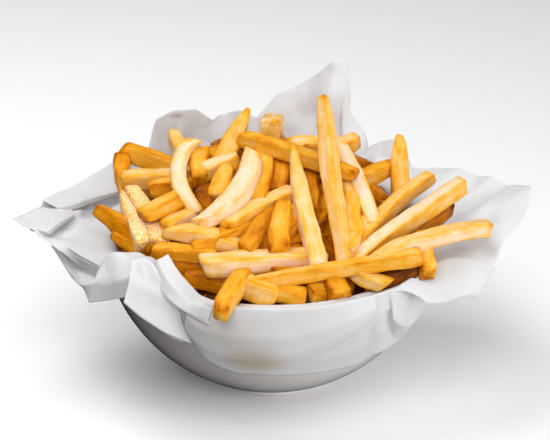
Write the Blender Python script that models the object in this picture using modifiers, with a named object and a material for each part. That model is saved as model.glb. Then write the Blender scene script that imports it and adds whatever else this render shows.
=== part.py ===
"""A portion of french fries in a round bowl that is lined with one crumpled sheet of paper.

Units are metres, +Z is up. The bowl stands on its foot ring at z = 0 and is centred on the Z axis.
The front of the portion, where the sheet folds down over the rim, faces -Y.
Three solids: the turned bowl, the paper liner as a thin shell, and the heap of fries.
Azimuths are in degrees, measured from +X towards +Y. Heights in tables are above the rim, in mm.
"""
import math

import bmesh
import bpy
from mathutils import Matrix, Vector

MM = 0.001

# Bowl: a spherical cup on a foot ring.
SPHERE_R = 81.0
SPHERE_Z = 79.0
RIM_Z = 72.0
RIM_WALL = 4.0
FLOOR_Z = 6.5
FOOT_R = 29.0
FOOT_INNER_R = 23.5
FOOT_RECESS = 2.4
FOOT_NECK = 1.2
BOWL_STEPS = 52
INNER_STEPS = 10
RIM_STEPS = 5
OUTER_STEPS = 10

# The foot ring's section: (distance from its outer or inner radius, height above the ground).
FOOT_OUTSIDE = ((0.0, 2.6), (-0.3, 0.6), (-1.0, 0.0))
FOOT_INSIDE = ((0.8, 0.0), (0.0, 0.7))
FOOT_TAPER = 0.8

# Paper liner: one sheet, pressed into the bowl and sticking out past the rim.
PAPER_THICK = 0.6
PAPER_CLEAR = 1.0
PAPER_COLUMNS = 60
INNER_ROWS = 6
ROWS_PER_SPAN = 2
LIP_RISE = 3.0
LIP_OUT = 0.5
WALL_TOP = -4.0

# Where the sheet runs beyond the rim: azimuth, then (radius, height above the rim) of its
# fold, its middle and its free edge. Corners stand out at 6 and 180 degrees and up at 66;
# from 243 to 306 degrees the sheet hangs down the outside of the bowl.
SHEET = (
    (6, (84, 5), (105, 11), (123.5, 23)),
    (13, (84, 5), (101, 9), (116, 16)),
    (24, (83, 5), (95, 9), (107, 15)),
    (36, (82, 6), (90, 10), (98, 13)),
    (45, (81, 7), (87, 14), (93, 23)),
    (57, (81, 6), (86, 11), (91, 15)),
    (66, (82, 14), (89, 34), (97, 61)),
    (72, (81, 12), (87, 31), (94, 57)),
    (84, (80, 10), (85, 25), (90, 43)),
    (96, (78, 6), (82, 16), (85, 28)),
    (102, (78, 8), (82, 19), (85, 33)),
    (111, (78, 7), (82, 17), (84, 29)),
    (117, (79, 8), (83, 20), (84, 35)),
    (132, (80, 9), (84, 21), (86, 38)),
    (138, (80, 6), (84, 12), (86, 22)),
    (150, (82, 6), (87, 12), (91, 19)),
    (162, (84, 5), (93, 9), (101, 13)),
    (180, (85, 3), (104, 4), (123.5, 7)),
    (192, (84, 4), (95, 5), (106, 7)),
    (201, (83, 5), (94, 3), (102, -3)),
    (213, (84, 10), (90, 6), (94, -11)),
    (222, (81, 16), (87, 9), (89.5, -7)),
    (231, (77, 18.5), (83.5, 7), (85, -17)),
    (243, (77.5, 7), (83.5, -7), (78.5, -23)),
    (250, (78.7, 1.8), (84, -7), (74, -31)),
    (261, (78.7, 1.8), (84, -7), (71.5, -35)),
    (270, (78.7, 2.2), (84.5, -7), (70, -37.5)),
    (285, (79.5, 2.2), (85.5, -7), (69.5, -38.5)),
    (294, (83, 2), (87.5, -7), (67.5, -41)),
    (303, (87.5, 1.5), (88.5, -8), (66, -44)),
    (309, (89, 1.5), (89.5, -5), (80, -22)),
    (315, (89, 1.5), (90.5, -3), (88, -11)),
    (324, (89.5, 1.5), (91, -3), (92, -12)),
    (333, (89, 1.5), (95, -3), (102, -13)),
    (342, (87, 2), (97, 0), (107, -8)),
    (348, (85, 3), (98, 3), (108, 2)),
    (357, (84, 4), (102, 6), (119, 14)),
)

# Heap: a mound with the fries that stand out of it.
MOUND_R = 74.5
MOUND_TOP = 37.0
MOUND_COLUMNS = 36
MOUND_ROWS = 7
MOUND_UNDER_ROWS = 6
MOUND_LIFT = 1.5
MOUND_POWER = 3.1
MOUND_LEAN = 1.0
RIPPLE = 1.3
RIPPLE_TURNS = 5
RIPPLE_TWIST = 2.4
RIPPLE_FADE = 4.0
HEAP_CLEAR = 2.9
FRY_THICK = 9.0
FRY_FLATNESS = 0.95
FRY_CUTS = (-0.25, 0.0, 0.25)

# Fries that stand out, as they lie: tail, tip (x, y, height above the rim), thickness,
# bow of the middle (dx, dy, dz) and roll about the length in degrees. All in mm.
FRIES = (
    ((-32, 16, 18), (-74, 26, 33), 9.0, (0, 0, 3), 10),
    ((-38, 4, 25), (-71, -1, 29), 9.5, (0, 0, 1), 0),
    ((-34, -26, 22), (-36, 6, 46), 8.0, (-9, 4, 2), 0),
    ((-57, -43, 13), (-68, -8, 26), 9.5, (0, 0, 1), 0),
    ((-50, -42, 14), (-65, -10, 27), 9.0, (0, 0, 0), 0),
    ((-58, -36, 26), (-40, -24, 31), 9.0, (0, 0, -1), 0),
    ((-53, -42, 11), (-81, -15, 20), 9.0, (0, 0, 1), 20),
    ((-10, -46, 13), (-54, -38, 21), 9.5, (0, -2, 3), 0),
    ((24, -49, 11), (-31, -61, 13), 10.0, (0, 0, 0), 0),
    ((-12, -58, 7), (-22, -88, 2), 8.5, (0, 0, 3), 0),
    ((67, -53, 13), (-12, -67, 7), 8.0, (0, -3, -2), 0),
    ((5, -20, 30), (-14, -56, 12), 9.0, (0, 0, 0), 0),
    ((14, -18, 31), (-28, -46, 19), 9.0, (0, 0, 0), 0),
    ((-8, -12, 37), (-8, 2, 45), 9.5, (0, 0, 0), 0),
    ((-34, -42, 24), (-8, -12, 37), 10.5, (4, -4, 1), 0),
    ((-30, -4, 27), (-11, 20, 57), 10.0, (1, 0, 0), 35),
    ((0, 42, 35), (-1, 13, 51), 10.0, (0, 0, 0), 0),
    ((46, 6, 27), (-15, 11, 46), 9.5, (0, 0, 1), 0),
    ((24, -58, 11), (9, -6, 51), 8.0, (0, 0, 0), 0),
    ((33, -56, 12), (22, 6, 66), 7.5, (0, 0, -1), 45),
    ((39, -34, 15), (32, 10, 42), 9.0, (0, 0, 1), 0),
    ((34, -50, 11), (76, 9, 27), 8.0, (0, 0, 2), 0),
    ((37, -54, 11), (90, -3, 28), 8.0, (0, 0, 1), 0),
    ((43, -59, 12), (101, -25, 15), 8.5, (0, 0, 3), 0),
    ((63, 24, 9), (63, 41, 35), 9.0, (0, 0, 0), 0),
    ((36, 16, 20), (62, 36, 23), 8.5, (0, 0, 0), 0),
    ((22, 36, 26), (43, 52, 29), 8.5, (0, 0, 0), 0),
    ((-40, 24, 25), (-49, 46, 34), 8.5, (0, 0, 0), 0),
    ((69, -50, 6), (68, -34, 17), 8.0, (0, 0, 0), 0),
)

# The back of the heap, where fries fan out from its crown towards the rim.
BACK_FRIES = 13
BACK_FROM = 12.0
BACK_STEP = 12.5
BACK_CROWN_R = 18.0
BACK_REACH = (64.0, 57.0, 67.0)
BACK_TIP = (17.0, 24.0, 13.0)
BACK_TURN = (-35, 20, 50)
BACK_SHIFT = 4.0
BACK_TAIL_DROP = 2.0
BACK_BOW = (0, 0, 3)


def clear_scene():
    """Removes every object, so that the script starts from nothing."""
    for obj in list(bpy.data.objects):
        bpy.data.objects.remove(obj, do_unlink=True)


def new_collection(name):
    """A collection linked to the scene."""
    collection = bpy.data.collections.new(name)
    bpy.context.scene.collection.children.link(collection)
    return collection


def new_material(name, color, roughness):
    """A Principled material with one colour and roughness."""
    material = bpy.data.materials.new(name)
    material.use_nodes = True
    shader = material.node_tree.nodes["Principled BSDF"]
    shader.inputs["Base Color"].default_value = (*color, 1.0)
    shader.inputs["Roughness"].default_value = roughness
    shader.inputs["Metallic"].default_value = 0.0
    material.diffuse_color = (*color, 1.0)
    return material


def glaze_material():
    """White glazed porcelain."""
    return new_material("glazed_porcelain", (0.86, 0.85, 0.83), 0.18)


def paper_material():
    """White greaseproof paper."""
    return new_material("greaseproof_paper", (0.85, 0.85, 0.84), 0.6)


def fries_material():
    """Golden fried potato."""
    return new_material("fried_potato", (0.86, 0.50, 0.12), 0.45)


def polar(azimuth, radius, height):
    """A point in metres from degrees, and mm from the axis and above the rim."""
    angle = math.radians(azimuth)
    return Vector((radius * math.cos(angle), radius * math.sin(angle), RIM_Z + height)) * MM


def inner_rim_radius():
    """Half the width of the cavity's ellipse."""
    return SPHERE_R - RIM_WALL


def cavity_point(tilt, clearance):
    """(radius, height above the rim) on the cavity's ellipse, at a tilt in degrees from straight down."""
    depth = SPHERE_Z - FLOOR_Z - clearance
    angle = math.radians(tilt)
    rim_r = inner_rim_radius() - clearance
    return rim_r * math.sin(angle), SPHERE_Z - RIM_Z - depth * math.cos(angle)


def cavity_tilt(height, clearance):
    """The tilt at which the cavity's ellipse reaches a height above the rim."""
    depth = SPHERE_Z - FLOOR_Z - clearance
    return math.degrees(math.acos((SPHERE_Z - RIM_Z - height) / depth))


def spline(a, b, c, d, t):
    """Catmull-Rom between b and c."""
    return 0.5 * (2 * b + (c - a) * t + (2 * a - 5 * b + 4 * c - d) * t ** 2
                  + (3 * b - a - 3 * c + d) * t ** 3)


# ---------------------------------------------------------------- bowl

def bowl_profile():
    """Half section of the bowl: up the inside, over the rim, down the outside, under the foot."""
    rim_half = RIM_WALL / 2
    rim_start = -rim_half
    points = []
    inner_tilt = cavity_tilt(rim_start, 0.0)
    for step in range(INNER_STEPS + 1):
        radius, height = cavity_point(inner_tilt * step / INNER_STEPS, 0.0)
        points.append((radius, height + RIM_Z))
    inner_r = points[-1][0]
    outer_r = math.sqrt(SPHERE_R ** 2 - (SPHERE_Z - RIM_Z - rim_start) ** 2)
    middle = (inner_r + outer_r) / 2
    half = (outer_r - inner_r) / 2
    for step in range(1, RIM_STEPS):
        angle = math.pi * (1.0 - step / RIM_STEPS)
        points.append((middle + half * math.cos(angle), RIM_Z + rim_start + rim_half * math.sin(angle)))
    first = math.degrees(math.asin((SPHERE_Z - RIM_Z - rim_start) / SPHERE_R))
    last = math.degrees(math.acos((FOOT_R + FOOT_NECK) / SPHERE_R))
    for step in range(OUTER_STEPS + 1):
        angle = math.radians(first + (last - first) * step / OUTER_STEPS)
        points.append((SPHERE_R * math.cos(angle), SPHERE_Z - SPHERE_R * math.sin(angle)))
    points += [(FOOT_R + offset, height) for offset, height in FOOT_OUTSIDE]
    points += [(FOOT_INNER_R + offset, height) for offset, height in FOOT_INSIDE]
    points += [(FOOT_INNER_R - FOOT_TAPER, FOOT_RECESS), (0.0, FOOT_RECESS)]
    return points


def build_bowl(parts):
    """The bowl: its half section turned about the Z axis by a Screw modifier."""
    mesh = bpy.data.meshes.new("bowl")
    points = bowl_profile()
    vertices = [(radius * MM, 0.0, height * MM) for radius, height in points]
    edges = [(index, index + 1) for index in range(len(points) - 1)]
    mesh.from_pydata(vertices, edges, [])
    bowl = bpy.data.objects.new("bowl", mesh)
    parts.objects.link(bowl)
    screw = bowl.modifiers.new("turn", "SCREW")
    screw.axis = "Z"
    screw.angle = math.tau
    screw.steps = BOWL_STEPS
    screw.render_steps = BOWL_STEPS
    screw.use_merge_vertices = True
    screw.merge_threshold = 0.00001
    screw.use_smooth_shade = True
    mesh.materials.append(glaze_material())
    return bowl


# ---------------------------------------------------------------- paper liner

def sheet_controls(azimuth):
    """Fold, middle and edge of the sheet at any azimuth, read off SHEET by a closed spline."""
    count = len(SHEET)
    index = max((i for i in range(count) if SHEET[i][0] <= azimuth), default=count - 1)
    rows = [SHEET[(index + offset) % count] for offset in (-1, 0, 1, 2)]
    span = (rows[2][0] - rows[1][0]) % 360
    t = ((azimuth - rows[1][0]) % 360) / span
    controls = []
    for which in (1, 2, 3):
        radius = spline(*[row[which][0] for row in rows], t)
        height = spline(*[row[which][1] for row in rows], t)
        controls.append((radius, height))
    return controls


def liner_section(azimuth):
    """(radius, height) down one column of the sheet, from near the bowl's centre to its free edge."""
    set_in = PAPER_CLEAR + PAPER_THICK / 2
    top_tilt = cavity_tilt(WALL_TOP, set_in)
    section = [cavity_point(top_tilt * (step + 1) / INNER_ROWS, set_in) for step in range(INNER_ROWS)]
    controls = sheet_controls(azimuth)
    lip = (section[-1][0] + LIP_OUT, min(LIP_RISE, controls[0][1]))
    guide = [section[-2], section[-1], lip] + controls
    last, before = guide[-1], guide[-2]
    guide.append((2 * last[0] - before[0], 2 * last[1] - before[1]))
    for span in range(1, len(guide) - 2):
        a, b, c, d = guide[span - 1:span + 3]
        for step in range(1, ROWS_PER_SPAN + 1):
            t = step / ROWS_PER_SPAN
            section.append((spline(a[0], b[0], c[0], d[0], t), spline(a[1], b[1], c[1], d[1], t)))
    return section


def build_liner(parts):
    """The paper: an open surface lofted through its columns, thickened by Solidify."""
    grid = bmesh.new()
    centre_r, centre_h = cavity_point(0.0, PAPER_CLEAR + PAPER_THICK / 2)
    centre = grid.verts.new(polar(0, centre_r, centre_h))
    columns = []
    for column in range(PAPER_COLUMNS):
        azimuth = 360.0 * column / PAPER_COLUMNS
        columns.append([grid.verts.new(polar(azimuth, r, h)) for r, h in liner_section(azimuth)])
    for column in range(PAPER_COLUMNS):
        here = columns[column]
        following = columns[(column + 1) % PAPER_COLUMNS]
        grid.faces.new((centre, here[0], following[0]))
        for row in range(len(here) - 1):
            grid.faces.new((here[row], here[row + 1], following[row + 1], following[row]))
    mesh = bpy.data.meshes.new("paper_liner")
    grid.to_mesh(mesh)
    grid.free()
    liner = bpy.data.objects.new("paper_liner", mesh)
    parts.objects.link(liner)
    solidify = liner.modifiers.new("thickness", "SOLIDIFY")
    solidify.thickness = PAPER_THICK * MM
    solidify.offset = 0.0
    mesh.materials.append(paper_material())
    return liner


# ---------------------------------------------------------------- heap of fries

def mound_height(azimuth, radius):
    """Height of the mound above the rim: a flat-topped dome with its long slope at the front."""
    power = MOUND_POWER + MOUND_LEAN * math.sin(math.radians(azimuth))
    ripple = RIPPLE * math.sin(math.radians(RIPPLE_TURNS * azimuth + RIPPLE_TWIST * radius))
    fade = min(1.0, RIPPLE_FADE * (1.0 - radius / MOUND_R))
    return MOUND_TOP * (1.0 - (radius / MOUND_R) ** power) + ripple * fade


def mound_section(azimuth):
    """(radius, height) of the mound: out along its underside to the rim, then back over its top."""
    top_tilt = cavity_tilt(0.0, HEAP_CLEAR)
    section = []
    for step in range(MOUND_UNDER_ROWS):
        section.append(cavity_point(top_tilt * (step + 1) / MOUND_UNDER_ROWS, HEAP_CLEAR))
    for step in range(MOUND_ROWS):
        radius = MOUND_R * (1.0 - (step + 1) / (MOUND_ROWS + 1))
        section.append((radius, MOUND_LIFT + mound_height(azimuth, radius)))
    return section


def build_mound(parts):
    """The mound's closed body, filling the lined bowl and heaped above it."""
    solid = bmesh.new()
    low_r, low_h = cavity_point(0.0, HEAP_CLEAR)
    bottom = solid.verts.new(polar(0, low_r, low_h))
    top = solid.verts.new(polar(0, 0.0, MOUND_TOP + MOUND_LIFT))
    columns = []
    for column in range(MOUND_COLUMNS):
        azimuth = 360.0 * column / MOUND_COLUMNS
        columns.append([solid.verts.new(polar(azimuth, r, h)) for r, h in mound_section(azimuth)])
    for column in range(MOUND_COLUMNS):
        here = columns[column]
        following = columns[(column + 1) % MOUND_COLUMNS]
        solid.faces.new((bottom, following[0], here[0]))
        solid.faces.new((top, here[-1], following[-1]))
        for row in range(len(here) - 1):
            solid.faces.new((here[row], following[row], following[row + 1], here[row + 1]))
    bmesh.ops.recalc_face_normals(solid, faces=solid.faces)
    mesh = bpy.data.meshes.new("fries_heap")
    solid.to_mesh(mesh)
    solid.free()
    mound = bpy.data.objects.new("fries_heap", mesh)
    parts.objects.link(mound)
    mesh.materials.append(fries_material())
    return mound


def add_fry(index, collection, tail, tip, thick, bow, roll):
    """One fry: a square bar from tail to tip, cut in four along its length and bowed."""
    start = Vector((tail[0], tail[1], tail[2] + RIM_Z))
    end = Vector((tip[0], tip[1], tip[2] + RIM_Z))
    length = (end - start).length
    bar = bmesh.new()
    bmesh.ops.create_cube(bar, size=1.0)
    bmesh.ops.scale(bar, vec=(length, thick, thick * FRY_FLATNESS), verts=bar.verts)
    for cut in FRY_CUTS:
        geometry = bar.verts[:] + bar.edges[:] + bar.faces[:]
        bmesh.ops.bisect_plane(bar, geom=geometry, plane_co=(cut * length, 0, 0), plane_no=(1, 0, 0))
    turn = (end - start).to_track_quat("X", "Z").to_matrix().to_4x4()
    bmesh.ops.transform(bar, matrix=turn @ Matrix.Rotation(math.radians(roll), 4, "X"), verts=bar.verts)
    along = (end - start).normalized()
    for vertex in bar.verts:
        place = 2.0 * vertex.co.dot(along) / length
        vertex.co += Vector(bow) * (1.0 - place * place) + (start + end) / 2
    bmesh.ops.scale(bar, vec=(MM, MM, MM), verts=bar.verts)
    bmesh.ops.recalc_face_normals(bar, faces=bar.faces)
    mesh = bpy.data.meshes.new(f"fry_{index}")
    bar.to_mesh(mesh)
    bar.free()
    fry = bpy.data.objects.new(f"fry_{index}", mesh)
    fry.hide_render = True
    fry.display_type = "WIRE"
    collection.objects.link(fry)
    return fry


def back_fries():
    """The fan of fries on the far side: tail near the crown, tip towards the rim."""
    for index in range(BACK_FRIES):
        azimuth = math.radians(BACK_FROM + BACK_STEP * index)
        turned = azimuth + math.radians(BACK_TURN[index % 3])
        reach = BACK_REACH[index % 3]
        tip = (reach * math.cos(azimuth), reach * math.sin(azimuth), BACK_TIP[index % 3])
        tail_x = BACK_CROWN_R * math.cos(turned)
        tail_y = BACK_CROWN_R * math.sin(turned) + BACK_SHIFT
        yield (tail_x, tail_y, MOUND_TOP - BACK_TAIL_DROP), tip, FRY_THICK, BACK_BOW, 0


def build_heap(parts, cutters):
    """The heap: the mound and every fry that stands out of it, joined into one solid."""
    heap = build_mound(parts)
    rows = list(FRIES) + list(back_fries())
    for index, row in enumerate(rows):
        add_fry(index, cutters, *row)
    union = heap.modifiers.new("join_fries", "BOOLEAN")
    union.operation = "UNION"
    union.solver = "EXACT"
    union.operand_type = "COLLECTION"
    union.collection = cutters
    return heap


def main():
    """Builds the three sub-parts."""
    clear_scene()
    parts = new_collection("french_fries_portion")
    cutters = new_collection("cutters")
    build_bowl(parts)
    build_liner(parts)
    build_heap(parts, cutters)


main()
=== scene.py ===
import math
import random

import bpy
import numpy as np
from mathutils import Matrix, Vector, geometry, noise
from mathutils.bvhtree import BVHTree


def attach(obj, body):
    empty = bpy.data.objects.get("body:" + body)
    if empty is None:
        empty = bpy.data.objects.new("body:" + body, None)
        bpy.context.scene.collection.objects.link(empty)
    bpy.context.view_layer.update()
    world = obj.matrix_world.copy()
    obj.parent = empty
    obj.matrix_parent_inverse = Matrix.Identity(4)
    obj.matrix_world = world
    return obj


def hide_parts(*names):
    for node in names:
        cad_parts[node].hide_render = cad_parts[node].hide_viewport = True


# Looks of the french fries portion. Tables are in mm, heights in them are above the bowl's rim;
# azimuths are in degrees from +X towards +Y. The front of the portion faces -Y.

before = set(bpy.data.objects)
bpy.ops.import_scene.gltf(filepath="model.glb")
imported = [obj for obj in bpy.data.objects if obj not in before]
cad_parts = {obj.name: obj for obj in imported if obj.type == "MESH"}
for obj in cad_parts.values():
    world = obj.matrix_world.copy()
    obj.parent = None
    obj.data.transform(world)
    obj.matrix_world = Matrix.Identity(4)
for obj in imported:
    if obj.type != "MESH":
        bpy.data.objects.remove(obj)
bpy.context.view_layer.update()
MM = 0.001

# ---------------- sizes shared with the solids
SPHERE_R = 81.0
SPHERE_Z = 79.0
RIM_Z = 72.0
RIM_WALL = 4.0
FLOOR_Z = 6.5
FOOT_R = 29.0
FOOT_INNER_R = 23.5
FOOT_RECESS = 2.4
PAPER_CLEAR = 1.0
LIP_RISE = 3.0
MOUND_R = 74.5
MOUND_TOP = 37.0
HEAP_CLEAR = 2.9

# ---------------- bowl
BOWL_TURNS = 160

# ---------------- paper
PAPER_THICK = 0.25
PAPER_COLUMNS = 540
INNER_ROWS = 8
SPAN_ROWS = (3, 4, 8, 20, 20)
SHEET_CENTRE_WALK = 5.0
CREASE_LEAD = 4
COARSE_SPACING = 26.0
COARSE_HEIGHT = 3.0
FINE_SPACING = 11.0
FINE_HEIGHT = 1.1
CRUMPLE_ROWS = 20
WALL_GAP = 0.8
WALL_GAP_FROM_ROW = 12

# Behind the flap the sheet stays smooth: the middle of that stretch, how smooth, and the cosines of the
# angles from its middle between which it eases in.
SMOOTH_AZIMUTH = 291.0
SMOOTH_SHARE = 0.94
SMOOTH_EASE = (0.60, 0.72)

# Where the sheet runs beyond the rim: azimuth, then (radius, height) of fold, middle and edge.
# Between stations it is straight, so that each station is a crease.
SHEET = (
    (0, (84, 4), (103, 8), (122, 18)),
    (3.7, (84, 5), (105, 10), (123.6, 23)),
    (12.4, (84, 5), (101, 8), (117, 16)),
    (25, (83, 5), (94, 10), (107, 15)),
    (36, (82, 6), (92, 8), (100, 12)),
    (42, (81.5, 6), (89, 8), (96.6, 10)),
    (44, (81, 7), (87, 14), (94, 22)),
    (48, (81, 7), (88, 14), (91.5, 23)),
    (57.3, (81, 6), (85, 10), (92, 13)),
    (58.4, (81, 8), (86, 16), (91.6, 24)),
    (64.6, (81, 13), (84, 24), (90.5, 33)),
    (65.9, (82, 14), (90, 36), (97, 61)),
    (70, (81.5, 13), (84, 34), (93, 58)),
    (76, (80, 11), (87.5, 30), (92, 50)),
    (83, (80, 10), (83, 25), (91, 43)),
    (88.6, (79, 8), (84.5, 22), (88, 40)),
    (95.4, (78, 6), (81, 16), (85.4, 28)),
    (101, (78, 8), (83, 19), (84.6, 33)),
    (109, (78, 7), (81, 18), (84.5, 31)),
    (111, (78, 7), (81, 16), (84, 29)),
    (117, (79, 8), (85.5, 20), (85, 36)),
    (127, (80, 9), (82, 22), (85, 39)),
    (133.5, (80, 9), (84, 20), (86, 36)),
    (137, (80, 6), (82, 12), (85.6, 21)),
    (150.5, (82, 6), (87, 12), (91.4, 19)),
    (163.8, (84, 5), (92, 10), (100.5, 13)),
    (171, (84, 4), (98, 8), (111.5, 11.6)),
    (180, (85, 3), (104, 6), (123.5, 7)),
    (187.9, (84, 4), (98, 4), (109.7, 6)),
    (195.6, (84, 4), (98, 6.5), (101, 4)),
    (200, (84, 4), (95, 5.5), (94, -2)),
    (205.7, (84, 3), (90, 4), (88.5, -5)),
    (209, (83.5, 2), (87.5, 3), (86, -8)),
    (212, (82.5, 8), (89, 0), (91, -9)),
    (216.5, (81, 12), (89, 0), (89, -6)),
    (222, (80, 13), (87, 4), (86, -4)),
    (228, (79, 12), (86, 2), (82, -13)),
    (231.6, (79, 9), (85, -1), (79.5, -18)),
    (235.5, (79, 6), (83, -3), (78, -21)),
    (239.7, (79, 4), (81.5, -5), (77, -22)),
    (243, (79, 2.0), (81.5, -3), (81, -10)),
    (247, (78.7, 0.7), (81.6, -2), (82, -9)),
    (259, (78.7, 0.7), (81.6, -2), (82, -9)),
    (285, (79, 0.7), (81.8, -2), (82, -9)),
    (296, (79, 0.7), (81.6, -2), (81.8, -8)),
    (311, (79.4, 0.8), (81.7, -2), (81.8, -8)),
    (321, (81, 1.0), (84, -2), (84, -6)),
    (327, (82, 1.4), (88, -1), (90, -5)),
    (334, (84, 1.5), (94, 0), (98, -5)),
    (339, (86, 2), (97, 1.5), (104, -3)),
    (343, (86, 2), (98, 1.5), (107.5, -1)),
    (349.5, (85, 3), (98, 2), (109.7, 4)),
    (354, (84, 4), (100, 6), (116.5, 10)),
)

# Creases pressed into the free part: two ends (azimuth, radius, height), how far the ridge stands up
# (or down, if negative) and how wide it is on its two sides. All but azimuths in mm.
CREASES = (
    ((169, 106, 8), (157, 82, 7), 5.0, 3.0, 26.0),
    ((185, 108, 6), (172, 94, 5), -3.0, 9.0, 2.5),
)

# Parts of the sheet that lie folded over the rest. Each is a few stations along it, and at each
# station points across it, which are joined by straight folds: (x, y, height above the rim).
# The strip at the front left, from beside the fries over its ridge and back under.
STRIP = (
    ((-45.8, -59, 17.5), (-50, -63.5, 17), (-52, -64.5, 11.8), (-48, -62, 10)),
    ((-40, -64, 10.5), (-45.5, -69, 10), (-48.5, -70.5, 5.5), (-45, -68, 3)),
    ((-32.8, -69, 4), (-38, -74, 4.5), (-43.5, -75, 1.7), (-40, -74, -1)),
    ((-28.5, -72, 2.8), (-32, -77.5, 2), (-37.7, -78, -0.7), (-35, -78, -3)),
    ((-24.8, -74, 2), (-26, -79, -0.3), (-27.7, -80.5, -4), (-27, -81, -6)),
)
# The rolled flap left of it, from inside over its crest and its fold to its lower edge.
ROLL = (
    ((-74, -45, 8), (-76.4, -52, 9.4), (-77.8, -56, 6.9), (-78.6, -59, 3.9), (-82.5, -57, -7.3)),
    ((-68, -46, 12), (-73.6, -52, 13.6), (-73.7, -57.5, 10.1), (-73.5, -61.5, 4.2), (-73.8, -60, -4.5)),
    ((-60, -48, 13.5), (-69.4, -53, 15.7), (-68.1, -60, 12.2), (-67.8, -64, 6.9), (-68.1, -63.5, -1.7)),
    ((-56, -50, 12), (-64.4, -55, 15.3), (-62.2, -61, 12.8), (-62.1, -65, 8.3), (-62.6, -65.5, -0.2)),
    ((-54, -52, 10), (-59, -58, 14.0), (-58, -63, 11.0), (-57.5, -66, 6.0), (-58, -66, -3)),
)
# The panel that hangs between the two.
PANEL = (
    ((-60, -55, 14), (-62, -61, 15.7), (-62.3, -68, 9.3), (-64.8, -73, 0.6)),
    ((-54, -56, 15), (-56.7, -61, 16.7), (-55.6, -69, 8.4), (-58.2, -75, -4.5)),
    ((-49, -60, 13), (-51.7, -65, 14.7), (-49.9, -71, 3.5), (-51.4, -75.5, -9.5)),
    ((-45, -64, 7), (-47.7, -69, 7.4), (-45.6, -72, -2.5), (-46, -74, -14)),
    ((-38, -68, 1), (-41.2, -72, 0), (-39.6, -72, -9), (-35.4, -69.5, -21.5)),
)
# The ledge along the back of the left wing, from the wing's edge to its own free edge and under it.
LEDGE = (
    ((-111, 15.5, 11.8), (-108, 13, 11), (-103.5, 9.5, 10), (-102, 9.5, 8)),
    ((-104, 22.5, 13), (-99.5, 17.5, 12), (-94.9, 12.5, 11), (-94, 13, 8.5)),
    ((-96.5, 28.3, 13.8), (-91, 24.5, 12.5), (-85.4, 20.9, 10.8), (-85, 21.5, 8.5)),
    ((-88, 36.5, 16.5), (-83.5, 31.5, 13), (-78.5, 26.5, 10.5), (-78, 27.5, 8.5)),
    ((-80, 44.5, 19.3), (-77, 38, 14.5), (-73.5, 30, 10.3), (-73, 31, 8.5)),
)
# The tip of that wing, whose free edge lies over the wing's lower part.
TIP = (
    ((-122, 0.5, 8), (-119, -3, 7.6), (-114.5, -8, 7.2), (-113.5, -8, 5.4)),
    ((-116, 5.5, 9.3), (-112, -4, 9), (-106, -13.2, 8.0), (-105, -12.6, 6.2)),
    ((-110.5, 9, 10), (-107, 0, 9.4), (-102.3, -8.0, 8.3), (-101.5, -7.3, 6.4)),
    ((-104, 10, 9), (-101.5, 4, 9), (-98.4, -0.6, 8.5), (-97.8, 0, 6.6)),
    ((-96.4, 15, 8), (-96, 11, 8), (-94.9, 6.8, 7.6), (-94.4, 7.2, 6.4)),
)
# The turned-under front of that wing: from its crest in, out again and down to its ragged edge.
UNDER = (
    ((-102.8, -20.9, 4), (-102.3, -18.7, 2), (-101.8, -17.6, 0.5), (-101.6, -16.4, -0.5)),
    ((-98.3, -20.7, 3), (-94.6, -24.8, -5), (-94, -27, -7), (-93.5, -27, -8.5)),
    ((-90.2, -30.6, 3), (-89.3, -29.7, -4), (-87.4, -38.7, -7.5), (-86.8, -37.6, -9.5)),
    ((-78.3, -41.2, 3), (-79.6, -38.7, -4), (-81.1, -43, -4.5), (-83.3, -43, -14)),
    ((-74, -46, 4), (-75, -43, -3), (-77, -46, -4), (-80, -45, -13)),
)
# The lower lobe of the right wing, from its upper free edge down to its lower ragged one.
LOBE = (
    ((48, -62, 0.5), (50.5, -64.6, 2.4), (50.7, -65.2, 2.2)),
    ((55, -57, 0.5), (57.6, -60.4, 3.4), (58.2, -62.4, 1.4)),
    ((61, -50, 1.5), (64, -53.5, 4.2), (66, -60, -3.6)),
    ((69, -43, 2), (69.2, -45.5, 4.8), (70, -59.5, -6.6)),
    ((79, -36.5, 2.5), (79.5, -39.5, 6.2), (78.2, -56.5, -7.3)),
    ((90, -35.5, 2.0), (90.3, -38.5, 6.0), (85, -53.5, -6.4)),
    ((97, -37.5, 0.5), (97.5, -40.5, 4.6), (90, -50.5, -7.6)),
    ((101.5, -39.5, 0), (101.8, -41.5, 2.8), (92.8, -48.5, -10.0)),
)
# The flap that hangs down the front, the part of the sheet that shows below it, and the part that
# hangs to their right: (x, height, clearance from the bowl's wall), from the lip down to the lower edge.
FLAP = (
    ((-36, 2, 2), (-37.5, -5, 4), (-38.3, -10.6, 4), (-37, -16, 3)),
    ((-31, 2.5, 1.5), (-33, -9, 4.6), (-34.5, -17, 4.2), (-33, -23, 3)),
    ((-22, 2.6, 1.3), (-24, -11, 4.6), (-27, -22, 4.2), (-27.5, -30.5, 3)),
    ((-10, 2.6, 1.3), (-11, -12, 4.6), (-13, -25, 4.2), (-14, -35.5, 3)),
    ((5, 2.6, 1.3), (4.5, -12, 4.6), (3, -24, 4.2), (2, -31.5, 3)),
    ((20, 2.6, 1.3), (20, -9, 4.6), (20, -17, 4.2), (20, -23, 3)),
    ((33, 2.6, 1.3), (33, -6, 4.4), (33, -12, 4.2), (33, -16.5, 3)),
    ((41, 2.6, 1.5), (41.5, -4, 4.2), (41.5, -8, 4.0), (41.5, -11.5, 3)),
    ((45.5, 2.4, 1.8), (46, -3, 4), (46, -5.5, 3.6), (45.5, -8, 3)),
)
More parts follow.
